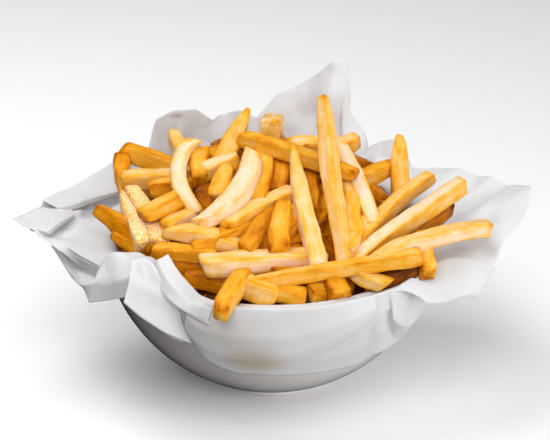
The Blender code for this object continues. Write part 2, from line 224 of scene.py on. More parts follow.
FLAP_BELOW = (
    ((-20, -8, 2), (-21, -16, 2.4), (-22, -26, 2), (-22.5, -33.3, 1.4)),
    ((-8, -8, 2), (-8, -17, 2.4), (-8, -28, 2), (-8, -36.7, 1.4)),
    ((6, -7, 2), (6, -17, 2.4), (6, -28, 2), (6, -37.8, 1.4)),
    ((22, -5, 2), (22, -16, 2.4), (22, -28, 2), (22, -38.8, 1.4)),
    ((36, -3, 2), (36.5, -15, 2.4), (37, -27, 2), (37, -39, 1.4)),
    ((43, -2, 2), (43.5, -13, 2.8), (43.5, -25, 2.2), (42.5, -37, 1.4)),
    ((46.5, -1, 2.2), (47, -11, 4.2), (46.5, -22, 3.2), (45.5, -36, 1.8)),
)
FLAP_RIGHT = (
    ((44, 2.4, 1.5), (44.5, -6, 1.6), (44, -16, 1.6), (43.5, -34, 1.0)),
    ((48.5, 2.6, 1.8), (49, -8, 2.8), (48.5, -20, 2.4), (47, -37, 1.0)),
    ((51.5, 2.8, 2.0), (52.5, -10, 1.6), (51.5, -21, 1.4), (51, -39, 1.0)),
    ((54, 3.0, 2.5), (55, -13.0, 4.8), (53, -19, 1.4), (55, -40, 1.2)),
    ((60, 3.0, 3), (60, -20.0, 4.8), (56.5, -26, 1.6), (59, -40, 1.3)),
    ((65, 3.0, 4), (65, -24, 3.8), (62, -30, 2.2), (63, -36, 1.4)),
    ((70, 3.0, 5), (69, -16, 4.4), (68, -23, 3.4), (67, -31, 1.6)),
    ((75, 3.0, 6), (73, -12, 4.4), (72, -18, 3.2), (71, -25, 1.6)),
)
LAYER_COLUMNS = 64
LAYER_ROWS = 12
LAYER_FACETS = (8.0, 0.8)
HANGING_FACETS = (16.0, 0.5)
HANGING_START = (-2.0, -4.5)
LAYER_SOFTENING = 2

# Where oil has soaked into the sheet: x, y, height above the rim, radius, strength.
OIL = (
    (-7, -76, -26, 17, 0.95),
    (-20, -80, -12, 26, 0.30),
    (18, -80, -4, 20, 0.18),
    (74, -42, 5, 16, 0.35),
    (60, 30, 14, 22, 0.15),
)

# ---------------- fries
FRY_RINGS = 26
FRY_LUMPS = 0.15
FACE_TONES = 0.13

# Fries seen one by one: tail, tip (x, y, height above the rim), thickness, bow of the middle,
# roll in degrees, tone (0 pale to 1 brown), and how much of the thickness is left at tail and tip.
FRIES = (
    ((-32, 16, 18), (-74, 26, 33), 8.5, (0, 0, 3), 10, 0.38, 1.0, 0.9),
    ((-67, -6, 22), (-73, 22, 32), 8.0, (0, 0, 1), 0, 0.46, 1.0, 0.9),
    ((-34, 4, 26), (-71, -2, 29), 8.8, (0, 0, 1), 0, 0.28, 1.0, 0.9),
    ((-30, 0, 26), (-57, -12, 28.5), 9.0, (0, 0, 1), 0, 0.40, 1.0, 0.8),
    ((-34, -26, 22), (-36, 6, 46), 8.0, (-9, 4, 2), 0, 0.02, 0.9, 0.9),
    ((-57, -43, 13), (-69, -8, 25), 9.8, (0, 0, 1), 0, 0.18, 1.0, 0.45),
    ((-50, -43, 14), (-66, -9, 28), 8.5, (0, 0, 0), 0, 0.30, 1.0, 0.8),
    ((-59, -36, 26), (-42, -26, 31), 7.8, (0, 0, -1), 0, 0.30, 0.8, 1.0),
    ((-53, -42, 11), (-81, -15, 20), 9.0, (0, 0, 1), 20, 0.50, 1.0, 0.4),
    ((-57, -44, 8), (-73, -29, 14), 6.0, (0, 0, 1), 20, 0.60, 1.0, 0.6),
    ((-12, -46, 13), (-49, -41, 20), 9.0, (0, -2, 3.5), 0, 0.24, 1.0, 0.45),
    ((-24, -52, 12), (-54, -50, 13), 9.0, (0, 0, 1), 0, 0.38, 1.0, 0.95),
    ((-18, -60, 4), (-40, -58, 6), 9.0, (0, 0, 0), 0, 0.62, 1.0, 0.8),
    ((-25, -55, 8), (-46, -53, 9), 9.0, (0, 0, 0), 0, 0.72, 1.0, 0.8),
    ((24, -49, 11), (-31, -61, 13), 10.0, (0, 0, 0), 0, 0.14, 0.9, 0.8),
    ((-12, -58, 7), (-22, -88, 2), 8.5, (0, 0, 3.0), 0, 0.27, 1.0, 0.8),
    ((-16, -66, 6), (2, -71, 3), 9.0, (0, 0, 1), 0, 0.22, 1.0, 0.9),
    ((-12, -68, 7), (67, -53.5, 14), 6.0, (0, -2, 1.2), 0, 0.20, 1.0, 1.0),
    ((-2, -69, 4), (15, -71, 2), 8.5, (0, 0, 0), 0, 0.40, 1.0, 0.9),
    ((17, -58, 6), (21.5, -69.5, 0.5), 7.5, (0, 0, 0), 0, 0.44, 1.0, 0.9),
    # The next fry's darker tone is partly its own deep amber and partly painted shade along the bottom row.
    ((26, -57, 7), (30.5, -70, 1.5), 9.5, (0, 0, 0), 0, 0.60, 1.0, 0.9),
    ((33.5, -57, 11), (51, -63.5, 4.5), 7.0, (0, -1, -1.0), 0, 0.26, 1.0, 0.9),
    # The next fry is a real dark brown one. Its darkest tone is partly painted shade for the shaded trough
    # at the front right.
    ((40, -60, 4), (64, -52, 7), 8.0, (0, 0, -1), 0, 1.0, 1.0, 0.7),
    ((70, -54, 5), (69, -36, 17), 8.0, (0, 0, 0), 0, 0.40, 1.0, 0.9),
    ((-12, -53, 15), (2, -27, 27), 9.0, (0, 0, 0), 0, 0.50, 1.0, 0.8),
    ((-22, -42, 21), (12, -18, 30), 9.0, (0, 0, 1), 0, 0.30, 0.8, 1.0),
    ((-34, -42, 24), (-8, -2, 43), 10.5, (5, -6, -2), 0, 0.08, 0.5, 0.9),
    ((-6, -26, 27), (-4, 4, 41), 9.0, (0, 0, 0), 0, 0.42, 1.0, 0.9),
    ((3, -16, 29), (6, 2, 39), 9.0, (0, 0, 0), 0, 0.58, 1.0, 0.9),
    ((-32, -7, 35), (-15, 1, 38), 9.0, (0, 0, 0), 0, 0.14, 0.8, 1.0),
    ((-24, -26, 29), (-21, -6, 38), 9.0, (0, 0, 0), 0, 0.20, 1.0, 0.6),
    ((-33, -10, 32), (-34, 8, 39), 9.0, (0, 0, 0), 0, 0.45, 1.0, 0.9),
    ((-30, -4, 27), (-11, 20, 57), 10.0, (1, 0, 0), 35, 0.33, 1.0, 0.15),
    ((1, 44, 41), (-1, 14, 48.5), 10.0, (0, 0, 0), 0, 0.18, 1.0, 1.0),
    ((38.5, -18, 38), (-15, 8, 46.5), 7.2, (0, 0, 1.5), 0, 0.34, 0.7, 0.8),
    ((21.7, -63, 7), (9.5, -6, 47.5), 8.0, (0, 0, 0), 0, 0.16, 1.0, 0.25),
    ((34, -60, 7.5), (23.6, 6, 68.3), 7.8, (0, 0, -1), 45, 0.30, 1.0, 0.4),
    ((46.5, -33, 20), (32, 9, 42), 8.5, (-1, 0, 1.0), 0, 0.10, 0.9, 0.8),
    ((34, -48, 13), (76, 9, 27), 6.9, (0, 0, 2.5), 0, 0.20, 1.0, 0.9),
    ((37, -54, 11), (90, -3, 28), 7.2, (0, 0, 1.5), 0, 0.15, 1.0, 0.95),
    ((43, -59, 12), (100, -25, 15), 8.2, (0, 0, 4), 0, 0.14, 0.8, 1.0),
    ((63, 24, 9), (63, 41, 35), 9.0, (0, 0, 0), 0, 0.17, 1.0, 0.3),
    ((36, 16, 20), (60, 36, 20.5), 8.5, (0, 0, 0), 0, 0.28, 1.0, 0.8),
    ((22, 36, 26), (43, 52, 29), 8.5, (0, 0, 0), 0, 0.24, 1.0, 0.8),
    ((-40, 24, 25), (-49, 46, 34), 8.5, (0, 0, 0), 0, 0.20, 1.0, 0.6),
    ((60, -26, 13), (84, -6, 17), 8.0, (0, 0, 0), 0, 0.55, 1.0, 0.8),
    ((33, -52, 15), (42.5, -30, 22), 7.5, (0, 0, 0), 0, 0.18, 1.0, 0.8),
    ((37, -44, 15), (35, -12, 31), 10.5, (0, 0, 0), 0, 0.34, 1.0, 0.9),
    ((3, -54, 16), (5, -31, 29), 9.5, (0, 0, 0), 0, 0.48, 1.0, 0.8),
    ((-36, -50, 15), (-8, -36, 21), 9.0, (0, 0, 0), 0, 0.50, 1.0, 0.8),
    ((-48, -38, 20), (-36, -30, 24), 8.5, (0, 0, 0), 0, 0.22, 1.0, 0.8),
    ((-33, -16, 30), (-24, -30, 27), 9.0, (0, 0, 0), 0, 0.70, 1.0, 0.8),
    ((4, -43, 19), (13, -28, 26), 8.5, (0, 0, 0), 0, 0.30, 1.0, 0.8),
    ((17, -30, 24), (17, -4, 34), 9.0, (0, 0, 0), 0, 0.55, 1.0, 0.8),
)

# Fries that fill the heap between and behind those.
# Which of them have a rough, peeled skin.
ROUGH_FRIES = (5, 6)

# Fries under the surface, layer by layer: depth in mm, how many, tone. The deeper layer is darker, as
# painted shade in the gaps between the fries.
FILL_LAYERS = ((8.5, 70, 0.70), (4.5, 62, 0.60))
FILL_HALF_THICK = 4.5
FILL_REACH = 0.80
FILL_EDGE = 7.0
GOLDEN_ANGLE = 137.508

# The fan of fries on the far side.
BACK_FRIES = 12
BACK_FROM = 41.0
BACK_STEP = 11.0
BACK_CROWN_R = 18.0
BACK_REACH = (64.0, 57.0, 67.0)
BACK_TIP = (17.0, 24.0, 13.0)
BACK_TURN = (-35.0, 20.0, 50.0)

# The core under the fries. Its dark brown tone is painted shade in the gaps between them.
CORE_SHRINK = 11.0
CORE_RINGS = 26
CORE_WALL_RINGS = 12
CORE_TURNS = 96
CORE_LOW = -8.0
CORE_SHADE_TONE = 0.78

# ---------------- studio
# The surround's light: the direction it is brightest in, then where along it the light starts and is
# full, and its strength there.
SURROUND_AXIS = (0.90, -0.43, -0.05)
SURROUND_RANGE = (-0.34, 0.58, 0.0, 1.0)
# Soft lights: place, size, power.
LIGHTS = {
    "key": ((-0.42, 0.12, 0.92), 0.60, 6.0),
    "side": ((0.78, -0.55, 0.22), 0.45, 2.6),
    "front": ((-0.14, -0.66, 0.86), 0.60, 5.0),
}
LIGHT_AIM = (0.0, 0.0, 0.08)
FLOOR_HALF = 4.0
CAMERA_ELEVATION = 23.95
CAMERA_DISTANCE = 0.8
CAMERA_LENS = 110.0
CAMERA_SENSOR = 36.0
CAMERA_AIM = (0.00151, 0.0, 0.07993)


# ================ shared shapes

def polar(azimuth, radius, height):
    """A point in mm from degrees, the distance from the axis, and the height above the rim."""
    angle = math.radians(azimuth)
    return Vector((radius * math.cos(angle), radius * math.sin(angle), RIM_Z + height))


def inner_rim_radius():
    """Half the width of the cavity's ellipse."""
    return SPHERE_R - RIM_WALL


def cavity_point(tilt, clearance):
    """(radius, height above the rim) on the cavity's ellipse, at a tilt in degrees from straight down."""
    depth = SPHERE_Z - FLOOR_Z - clearance
    angle = math.radians(tilt)
    rim_r = inner_rim_radius() - clearance
    return rim_r * math.sin(angle), SPHERE_Z - RIM_Z - depth * math.cos(angle)


def cavity_tilt(height, clearance):
    """The tilt at which the cavity's ellipse reaches a height above the rim."""
    depth = SPHERE_Z - FLOOR_Z - clearance
    return math.degrees(math.acos((SPHERE_Z - RIM_Z - height) / depth))


def spline(a, b, c, d, t):
    """Catmull-Rom between b and c."""
    return 0.5 * (2 * b + (c - a) * t + (2 * a - 5 * b + 4 * c - d) * t ** 2
                  + (3 * b - a - 3 * c + d) * t ** 3)


def mound_height(azimuth, radius):
    """Height of the heap's mound above the rim: a flat-topped dome with its long slope at the front."""
    power = 3.1 + 1.0 * math.sin(math.radians(azimuth))
    return MOUND_TOP * (1.0 - (min(radius, MOUND_R) / MOUND_R) ** power)


def new_piece(name, vertices, faces, material, replaced):
    """A mesh object in metres from points in mm, dressed and tied to the frame."""
    mesh = bpy.data.meshes.new(name)
    mesh.from_pydata([tuple(float(c) * MM for c in v) for v in vertices], [], faces)
    mesh.validate()
    mesh.materials.append(material)
    mesh.shade_smooth()
    piece = bpy.data.objects.new(name, mesh)
    bpy.context.scene.collection.objects.link(piece)
    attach(piece, "root")
    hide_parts(replaced)
    return piece


def write_vectors(piece, label, values):
    """A vector for each of the piece's points, for its material to read."""
    layer = piece.data.attributes.new(label, "FLOAT_VECTOR", "POINT")
    layer.data.foreach_set("vector", np.array(values, np.float32).ravel())


# ================ materials

def node_material(name):
    """An empty node material with its Principled shader, and a helper that adds and links nodes."""
    material = bpy.data.materials.new(name)
    material.use_nodes = True
    tree = material.node_tree
    shader = tree.nodes["Principled BSDF"]

    def add(kind, inputs=None, **settings):
        node = tree.nodes.new(kind)
        for key, value in settings.items():
            setattr(node, key, value)
        for key, value in (inputs or {}).items():
            if isinstance(value, bpy.types.NodeSocket):
                tree.links.new(value, node.inputs[key])
            else:
                node.inputs[key].default_value = value
        return node

    return material, tree, shader, add


def math_node(add, operation, a, b=0.0):
    """One Math node's output."""
    return add("ShaderNodeMath", {0: a, 1: b}, operation=operation).outputs[0]


def ramp(add, factor, stops):
    """A colour ramp over (position, (r, g, b)) stops."""
    node = add("ShaderNodeValToRGB", {"Fac": factor})
    elements = node.color_ramp.elements
    while len(elements) < len(stops):
        elements.new(0.5)
    for element, (position, color) in zip(elements, stops):
        element.position = position
        element.color = (*color, 1.0)
    return node.outputs["Color"]


def glaze_material():
    """White glazed porcelain: faintly uneven glaze over a warm white body, its colour darkened to a warm mid
    grey as painted shade.
    """
    material, tree, shader, add = node_material("glazed_porcelain")
    place = add("ShaderNodeTexCoord").outputs["Object"]
    cloud = add("ShaderNodeTexNoise", {"Vector": place, "Scale": 22.0, "Detail": 3.0}).outputs["Fac"]
    # A warm mid grey instead of white: painted shade over the whole bowl.
    color = ramp(add, cloud, ((0.3, (0.57, 0.54, 0.525)), (0.7, (0.62, 0.59, 0.575))))
    tree.links.new(color, shader.inputs["Base Color"])
    specks = add("ShaderNodeTexNoise", {"Vector": place, "Scale": 260.0, "Detail": 2.0}).outputs["Fac"]
    gloss = math_node(add, "MULTIPLY_ADD", specks, 0.10)
    gloss.node.inputs[2].default_value = 0.12
    tree.links.new(gloss, shader.inputs["Roughness"])
    wave = add("ShaderNodeTexNoise", {"Vector": place, "Scale": 45.0, "Detail": 1.0}).outputs["Fac"]
    bump = add("ShaderNodeBump", {"Height": wave, "Strength": 0.10, "Distance": 0.0015})
    tree.links.new(bump.outputs["Normal"], shader.inputs["Normal"])
    shader.inputs["IOR"].default_value = 1.5
    shader.inputs["Coat Weight"].default_value = 0.4
    shader.inputs["Coat Roughness"].default_value = 0.06
    return material


def paper_material():
    """White greaseproof paper: fibres, fine wrinkles, faint oil, and light that comes through."""
    material, tree, shader, add = node_material("greaseproof_paper")
    place = add("ShaderNodeTexCoord").outputs["Object"]
    cloud = add("ShaderNodeTexNoise", {"Vector": place, "Scale": 28.0, "Detail": 4.0}).outputs["Fac"]
    color = ramp(add, cloud, ((0.30, (0.76, 0.765, 0.775)), (0.72, (0.82, 0.825, 0.84))))
    oil = add("ShaderNodeAttribute", attribute_name="oil").outputs["Fac"]
    stained = add("ShaderNodeMix", {0: oil, 6: color, 7: (0.60, 0.50, 0.39, 1.0)}, data_type="RGBA")
    tree.links.new(stained.outputs[2], shader.inputs["Base Color"])
    fibre = add("ShaderNodeTexNoise", {"Vector": place, "Scale": 900.0, "Detail": 3.0}).outputs["Fac"]
    rough = math_node(add, "MULTIPLY_ADD", fibre, 0.18)
    rough.node.inputs[2].default_value = 0.50
    tree.links.new(rough, shader.inputs["Roughness"])
    wrinkle = add("ShaderNodeTexVoronoi", {"Vector": place, "Scale": 70.0}, feature="DISTANCE_TO_EDGE")
    height = math_node(add, "MULTIPLY_ADD", fibre, 0.08)
    tree.links.new(wrinkle.outputs["Distance"], height.node.inputs[2])
    bump = add("ShaderNodeBump", {"Height": height, "Strength": 0.18, "Distance": 0.0012})
    tree.links.new(bump.outputs["Normal"], shader.inputs["Normal"])
    shader.inputs["IOR"].default_value = 1.45
    through = add("ShaderNodeBsdfTranslucent", {"Color": (0.84, 0.85, 0.87, 1.0)})
    mix = add("ShaderNodeMixShader", {0: 0.30, 1: shader.outputs[0], 2: through.outputs[0]})
    output = tree.nodes["Material Output"]
    tree.links.new(mix.outputs[0], output.inputs["Surface"])
    return material


def fries_material(name, speckled=False):
    """Fried potato: tone per fry, lengthwise streaks, browned edges and ends, a film of oil."""
    material, tree, shader, add = node_material(name)
    crust = add("ShaderNodeAttribute", attribute_name="crust").outputs["Vector"]
    parts = add("ShaderNodeSeparateXYZ", {0: crust}).outputs
    grain = add("ShaderNodeAttribute", attribute_name="grain").outputs["Vector"]
    along = add("ShaderNodeVectorMath", {0: grain, 1: (0.07, 0.5, 0.5)}, operation="MULTIPLY").outputs[0]
    streak = add("ShaderNodeTexNoise", {"Vector": along, "Scale": 1.0, "Detail": 5.0, "Roughness": 0.62})
    streak = streak.outputs["Fac"]
    blotch = add("ShaderNodeTexNoise", {"Vector": grain, "Scale": 0.13, "Detail": 4.0}).outputs["Fac"]
    fine = add("ShaderNodeTexNoise", {"Vector": grain, "Scale": 0.55, "Detail": 4.0}).outputs["Fac"]
    dashes = add("ShaderNodeTexNoise", {"Vector": along, "Scale": 1.7, "Detail": 3.0}).outputs["Fac"]
    patch = ramp(add, dashes, ((0.30, (0, 0, 0)), (0.68, (1, 1, 1))))
    edge = math_node(add, "MULTIPLY", parts[1], patch)
    cloud = ramp(add, blotch, ((0.32, (0, 0, 0)), (0.68, (1, 1, 1))))
    end = math_node(add, "MULTIPLY", parts[2], cloud)
    value = math_node(add, "ADD", parts[0], math_node(add, "MULTIPLY", edge, 0.26))
    value = math_node(add, "ADD", value, math_node(add, "MULTIPLY", end, 0.26))
    for source, weight in ((streak, 0.46), (blotch, 0.46), (fine, 0.12)):
        centred = math_node(add, "SUBTRACT", source, 0.5)
        value = math_node(add, "ADD", value, math_node(add, "MULTIPLY", centred, weight))
    color = ramp(add, value, (
        (0.00, (0.86, 0.64, 0.45)),
        (0.10, (0.85, 0.57, 0.30)),
        (0.20, (0.83, 0.50, 0.15)),
        (0.36, (0.79, 0.385, 0.027)),
        (0.58, (0.64, 0.22, 0.0015)),
        (0.80, (0.34, 0.086, 0.0002)),
        (1.00, (0.11, 0.022, 0.0003)),
    ))
    if speckled:
        cells = add("ShaderNodeTexNoise", {"Vector": grain, "Scale": 1.6, "Detail": 3.0}).outputs["Fac"]
        flecks = ramp(add, cells, ((0.50, (0, 0, 0)), (0.62, (1, 1, 1))))
        mixed = add("ShaderNodeMix", {0: flecks, 6: color, 7: (0.92, 0.80, 0.60, 1.0)}, data_type="RGBA")
        color = mixed.outputs[2]
    tree.links.new(color, shader.inputs["Base Color"])
    rough = math_node(add, "MULTIPLY_ADD", blotch, 0.25)
    rough.node.inputs[2].default_value = 0.28
    tree.links.new(rough, shader.inputs["Roughness"])
    relief = math_node(add, "ADD", math_node(add, "MULTIPLY", streak, 1.2), fine)
    bump = add("ShaderNodeBump", {"Height": relief, "Strength": 0.35, "Distance": 0.0009})
    tree.links.new(bump.outputs["Normal"], shader.inputs["Normal"])
    shader.inputs["IOR"].default_value = 1.40
    shader.inputs["Specular IOR Level"].default_value = 0.14
    shader.inputs["Subsurface Weight"].default_value = 0.20
    shader.inputs["Subsurface Radius"].default_value = (1.0, 0.5, 0.10)
    shader.inputs["Subsurface Scale"].default_value = 0.0025
    return material


def floor_material():
    """Plain pale floor."""
    material, _, shader, _ = node_material("pale_floor")
    shader.inputs["Base Color"].default_value = (0.92, 0.92, 0.92, 1.0)
    shader.inputs["Roughness"].default_value = 0.9
    return material


# ================ bowl

def bowl_profile():
    """Half section of the bowl: up the inside, over the rim, down the outside, under the foot."""
    rim_half = RIM_WALL / 2
    rim_start = -rim_half
    inner_tilt = cavity_tilt(rim_start, 0.0)
    points = []
    for step in range(33):
        radius, height = cavity_point(inner_tilt * step / 32, 0.0)
        points.append((radius, height + RIM_Z))
    inner_r = points[-1][0]
    outer_r = math.sqrt(SPHERE_R ** 2 - (SPHERE_Z - RIM_Z - rim_start) ** 2)
    middle = (inner_r + outer_r) / 2
    half = (outer_r - inner_r) / 2
    for step in range(1, 16):
        angle = math.radians(180 - 180 * step / 16)
        points.append((middle + half * math.cos(angle), RIM_Z + rim_start + rim_half * math.sin(angle)))
    first = math.degrees(math.asin((SPHERE_Z - RIM_Z - rim_start) / SPHERE_R))
    last = math.degrees(math.acos((FOOT_R + 1.2) / SPHERE_R))
    for step in range(41):
        angle = math.radians(first + (last - first) * step / 40)
        points.append((SPHERE_R * math.cos(angle), SPHERE_Z - SPHERE_R * math.sin(angle)))
    points += [
        (FOOT_R + 0.3, 3.3),
        (FOOT_R, 2.6),
        (FOOT_R - 0.05, 1.4),
        (FOOT_R - 0.3, 0.6),
        (FOOT_R - 0.6, 0.15),
        (FOOT_R - 1.0, 0.0),
        (FOOT_INNER_R + 0.8, 0.0),
        (FOOT_INNER_R + 0.3, 0.2),
        (FOOT_INNER_R, 0.7),
        (FOOT_INNER_R - 0.8, FOOT_RECESS),
        (0.0, FOOT_RECESS),
    ]
    return points


def build_bowl():
    """The bowl, turned finely about the Z axis."""
    profile = bowl_profile()
    vertices = []
    faces = []
    last = len(profile) - 1
    rings = last - 1
    for turn in range(BOWL_TURNS):
        angle = math.tau * turn / BOWL_TURNS
        for radius, height in profile[1:last]:
            vertices.append((radius * math.cos(angle), radius * math.sin(angle), height))
    bottom = len(vertices)
    vertices += [(0, 0, profile[0][1]), (0, 0, profile[last][1])]
    for turn in range(BOWL_TURNS):
        here = turn * rings
        following = ((turn + 1) % BOWL_TURNS) * rings
        faces.append((bottom, here, following))
        faces.append((bottom + 1, following + rings - 1, here + rings - 1))
        for ring in range(rings - 1):
            faces.append((here + ring, here + ring + 1, following + ring + 1, following + ring))
    new_piece("porcelain_bowl", vertices, faces, glaze_material(), "bowl")


# ================ paper

def sheet_controls(azimuth):
    """Fold, middle and edge of the sheet at any azimuth: straight between the stations of SHEET."""
    count = len(SHEET)
    index = max((i for i in range(count) if SHEET[i][0] <= azimuth), default=count - 1)
    here, following = SHEET[index], SHEET[(index + 1) % count]
    t = ((azimuth - here[0]) % 360) / ((following[0] - here[0]) % 360)
    return [tuple(a + (b - a) * t for a, b in zip(here[which], following[which])) for which in (1, 2, 3)]


def liner_section(azimuth):
    """(radius, height) down one column of the sheet, from near the bowl's centre to its free edge."""
    set_in = PAPER_CLEAR + PAPER_THICK / 2
    top_tilt = cavity_tilt(-4.0, set_in)
    section = [cavity_point(top_tilt * (step + 1) / INNER_ROWS, set_in) for step in range(INNER_ROWS)]
    controls = sheet_controls(azimuth)
    lip = (section[-1][0] + 0.5, min(LIP_RISE, controls[0][1]))
    guide = [cavity_point(top_tilt * 5 / 6, set_in), section[-1], lip] + controls
    last, before = guide[-1], guide[-2]
    guide.append((2 * last[0] - before[0], 2 * last[1] - before[1]))
    for span in range(1, len(guide) - 2):
        a, b, c, d = guide[span - 1:span + 3]
        rows = SPAN_ROWS[span]
        sharp = span > 2
        for step in range(1, rows + 1):
            t = step / rows
            if sharp:
                section.append((b[0] + (c[0] - b[0]) * t, b[1] + (c[1] - b[1]) * t))
            else:
                section.append((spline(a[0], b[0], c[0], d[0], t), spline(a[1], b[1], c[1], d[1], t)))
    return section


def facets(flat, seed, spacing):
    """Heights between -1 and 1 of crumpled paper: flat triangles between scattered points."""
    draw = random.Random(seed)
    reach = float(np.abs(flat).max()) + 2 * spacing
    count = int(2 * reach / spacing) + 1
    corners = []
    for column in range(count):
        for row in range(count):
            x = -reach + (column + draw.uniform(-0.45, 0.45)) * spacing
            y = -reach + (row + draw.uniform(-0.45, 0.45)) * spacing
            corners.append(Vector((x, y)))
    triangles = geometry.delaunay_2d_cdt(corners, [], [], 0, 1e-6)[2]
    heights = [draw.uniform(-1.0, 1.0) for _ in corners]
    tree = BVHTree.FromPolygons([(p.x, p.y, h) for p, h in zip(corners, heights)], triangles)
    down = Vector((0.0, 0.0, -1.0))
    return np.array([tree.ray_cast(Vector((x, y, 9.0)), down)[0].z for x, y in flat])


def smooth(value, low, high):
    """0 below low, 1 above high, eased between."""
    t = np.clip((value - low) / (high - low), 0.0, 1.0)
    return t * t * (3.0 - 2.0 * t)


def grid_normals(points):
    """Normals of a grid of points that closes on itself along its first axis."""
    side = np.roll(points, -1, axis=0) - np.roll(points, 1, axis=0)
    down = np.gradient(points, axis=1)
    normal = np.cross(side, down)
    return normal / np.maximum(np.linalg.norm(normal, axis=2, keepdims=True), 1e-9)


def press_crease(points, start, end, rise, width_left, width_right):
    """Moves the sheet along its normal in a straight ridge, steep on one side and shallow on the other."""
    a, b = np.array(polar(*start)), np.array(polar(*end))
    along = b - a
    share = np.clip(((points - a) @ along) / (along @ along), 0.0, 1.0)
    away = points - (a + share[:, :, None] * along)
    normal = grid_normals(points)
    side = np.einsum("ijk,ijk->ij", away, np.cross(along, normal))
    width = np.where(side > 0, width_left, width_right)
    height = np.clip(1.0 - np.linalg.norm(away, axis=2) / width, 0.0, 1.0)
    return normal * (rise * height)[:, :, None]


def soften(points, first):
    """Rounds the creases a little, by averaging each point beyond the rim with its neighbours."""
    mean = (np.roll(points, 1, axis=0) + np.roll(points, -1, axis=0)) / 2
    inner = points.copy()
    inner[:, 1:-1] = (points[:, :-2] + points[:, 2:]) / 2
    points[:, first:] = (0.5 * points + 0.25 * mean + 0.25 * inner)[:, first:]


def sheet_grid():
    """The sheet's points, column by column, before its thickness."""
    columns = []
    for column in range(PAPER_COLUMNS):
        azimuth = 360.0 * column / PAPER_COLUMNS
        columns.append([tuple(polar(azimuth, r, h)) for r, h in liner_section(azimuth)])
    points = np.array(columns)
    rows = points.shape[1]
    steps = np.linalg.norm(np.diff(points, axis=1), axis=2)
    walk = np.concatenate([np.zeros((PAPER_COLUMNS, 1)), np.cumsum(steps, axis=1)], axis=1)
    travel = SHEET_CENTRE_WALK + walk
    angles = np.radians(360.0 * np.arange(PAPER_COLUMNS) / PAPER_COLUMNS)[:, None]
    flat = np.stack([travel * np.cos(angles), travel * np.sin(angles)], axis=2).reshape(-1, 2)
    first_free = INNER_ROWS + sum(SPAN_ROWS[1:3])
    row_share = np.arange(rows)[None, :].repeat(PAPER_COLUMNS, axis=0)
    amount = smooth(row_share, first_free - 2, first_free + CRUMPLE_ROWS)
    calm = 1.0 - SMOOTH_SHARE * smooth(np.cos(angles - math.radians(SMOOTH_AZIMUTH)), *SMOOTH_EASE)
    coarse = facets(flat, 3, COARSE_SPACING).reshape(PAPER_COLUMNS, rows)
    fine = facets(flat, 8, FINE_SPACING).reshape(PAPER_COLUMNS, rows)
    shift = (coarse * COARSE_HEIGHT + fine * FINE_HEIGHT) * amount * calm
    points = points + grid_normals(points) * shift[:, :, None]
    fade = smooth(row_share, first_free - CREASE_LEAD, first_free)[:, :, None]
    for crease in CREASES:
        points = points + press_crease(points, *crease) * fade
    soften(points, first_free - 2)
    keep_outside_bowl(points, first_free)
    return points


def on_bowl(x, height, clear):
    """The point in front of the bowl's wall at x and a height above the rim, at a clearance from it."""
    drop = min(0.0, height - (SPHERE_Z - RIM_Z))
    radius = math.sqrt((SPHERE_R + clear) ** 2 - drop ** 2)
    return x, -math.sqrt(radius ** 2 - x ** 2), height


def hanging(table):
    """The stations of a part that hangs in front of the bowl, each begun low inside its lip."""
    lower, closer = HANGING_START
    stations = []
    for row in table:
        x, height, clear = row[0]
        inside = on_bowl(x, height + lower, clear + closer)
        stations.append([inside] + [on_bowl(*place) for place in row])
    return stations


def layer_grid(layer, seed, spacing, amount):
    """A folded-over part as a grid of points: curved along its stations, straight across between folds."""
    stations = np.array(layer, float)
    last = len(stations) - 1
    lines = []
    for column in range(LAYER_COLUMNS + 1):
        place = column / LAYER_COLUMNS * last
        index = min(int(place), last - 1)
        picks = [stations[max(0, min(last, index + k))] for k in (-1, 0, 1, 2)]
        nodes = spline(*picks, place - index)
        line = []
        for a, b in zip(nodes, nodes[1:]):
            line += [a + (b - a) * step / LAYER_ROWS for step in range(LAYER_ROWS)]
        lines.append(line + [nodes[-1]])
    points = np.array(lines)
    points[:, :, 2] += RIM_Z
    flat = points[:, :, :2].reshape(-1, 2) + points[:, :, 2:].reshape(-1, 1) * 0.7
    push = facets(flat, seed, spacing).reshape(points.shape[:2]) * amount
    points[:, :, 2] += push
    points[:, :, 1] -= 0.6 * push
    for _ in range(LAYER_SOFTENING):
        points[:, 1:-1] = 0.5 * points[:, 1:-1] + 0.25 * (points[:, :-2] + points[:, 2:])
    return points


def soak(piece):
    """Writes how much oil is in the paper at each of its points."""
    count = len(piece.data.vertices)
    points = np.empty(count * 3, np.float32)
    piece.data.vertices.foreach_get("co", points)
    points = points.reshape(-1, 3) / MM - np.array((0, 0, RIM_Z))
    total = np.zeros(count, np.float32)
    for x, y, h, radius, strength in OIL:
        away = np.linalg.norm((points - np.array((x, y, h))) * np.array((0.8, 1.0, 1.5)), axis=1)
        total += strength * (1.0 - smooth(away, 0.15 * radius, radius))
    layer = piece.data.attributes.new("oil", "FLOAT", "POINT")
    layer.data.foreach_set("value", np.clip(total, 0.0, 1.0).astype(np.float32))


def paper_piece(name, vertices, faces, material):
    """A part of the sheet, soaked with oil and given its thickness."""
    piece = new_piece(name, vertices, faces, material, "paper_liner")
    soak(piece)
    thickness = piece.modifiers.new("thickness", "SOLIDIFY")
    thickness.thickness = PAPER_THICK * MM
    thickness.offset = 0.0


def build_layers(material):
    """The parts of the sheet that lie folded over it."""
    layers = [(layer, *LAYER_FACETS) for layer in (STRIP, ROLL, PANEL, LEDGE, TIP, UNDER, LOBE)]
    layers += [(hanging(table), *HANGING_FACETS) for table in (FLAP, FLAP_BELOW, FLAP_RIGHT)]
    vertices, faces = [], []
    for seed, (layer, spacing, amount) in enumerate(layers):
        points = layer_grid(layer, 12 + seed, spacing, amount)
        count, rows = points.shape[:2]
        base = len(vertices)
        for column in range(count - 1):
            for row in range(rows - 1):
                here = base + column * rows + row
                faces.append((here, here + rows, here + rows + 1, here + 1))
        vertices += [tuple(v) for v in points.reshape(-1, 3)]
    paper_piece("paper_folds", vertices, faces, material)


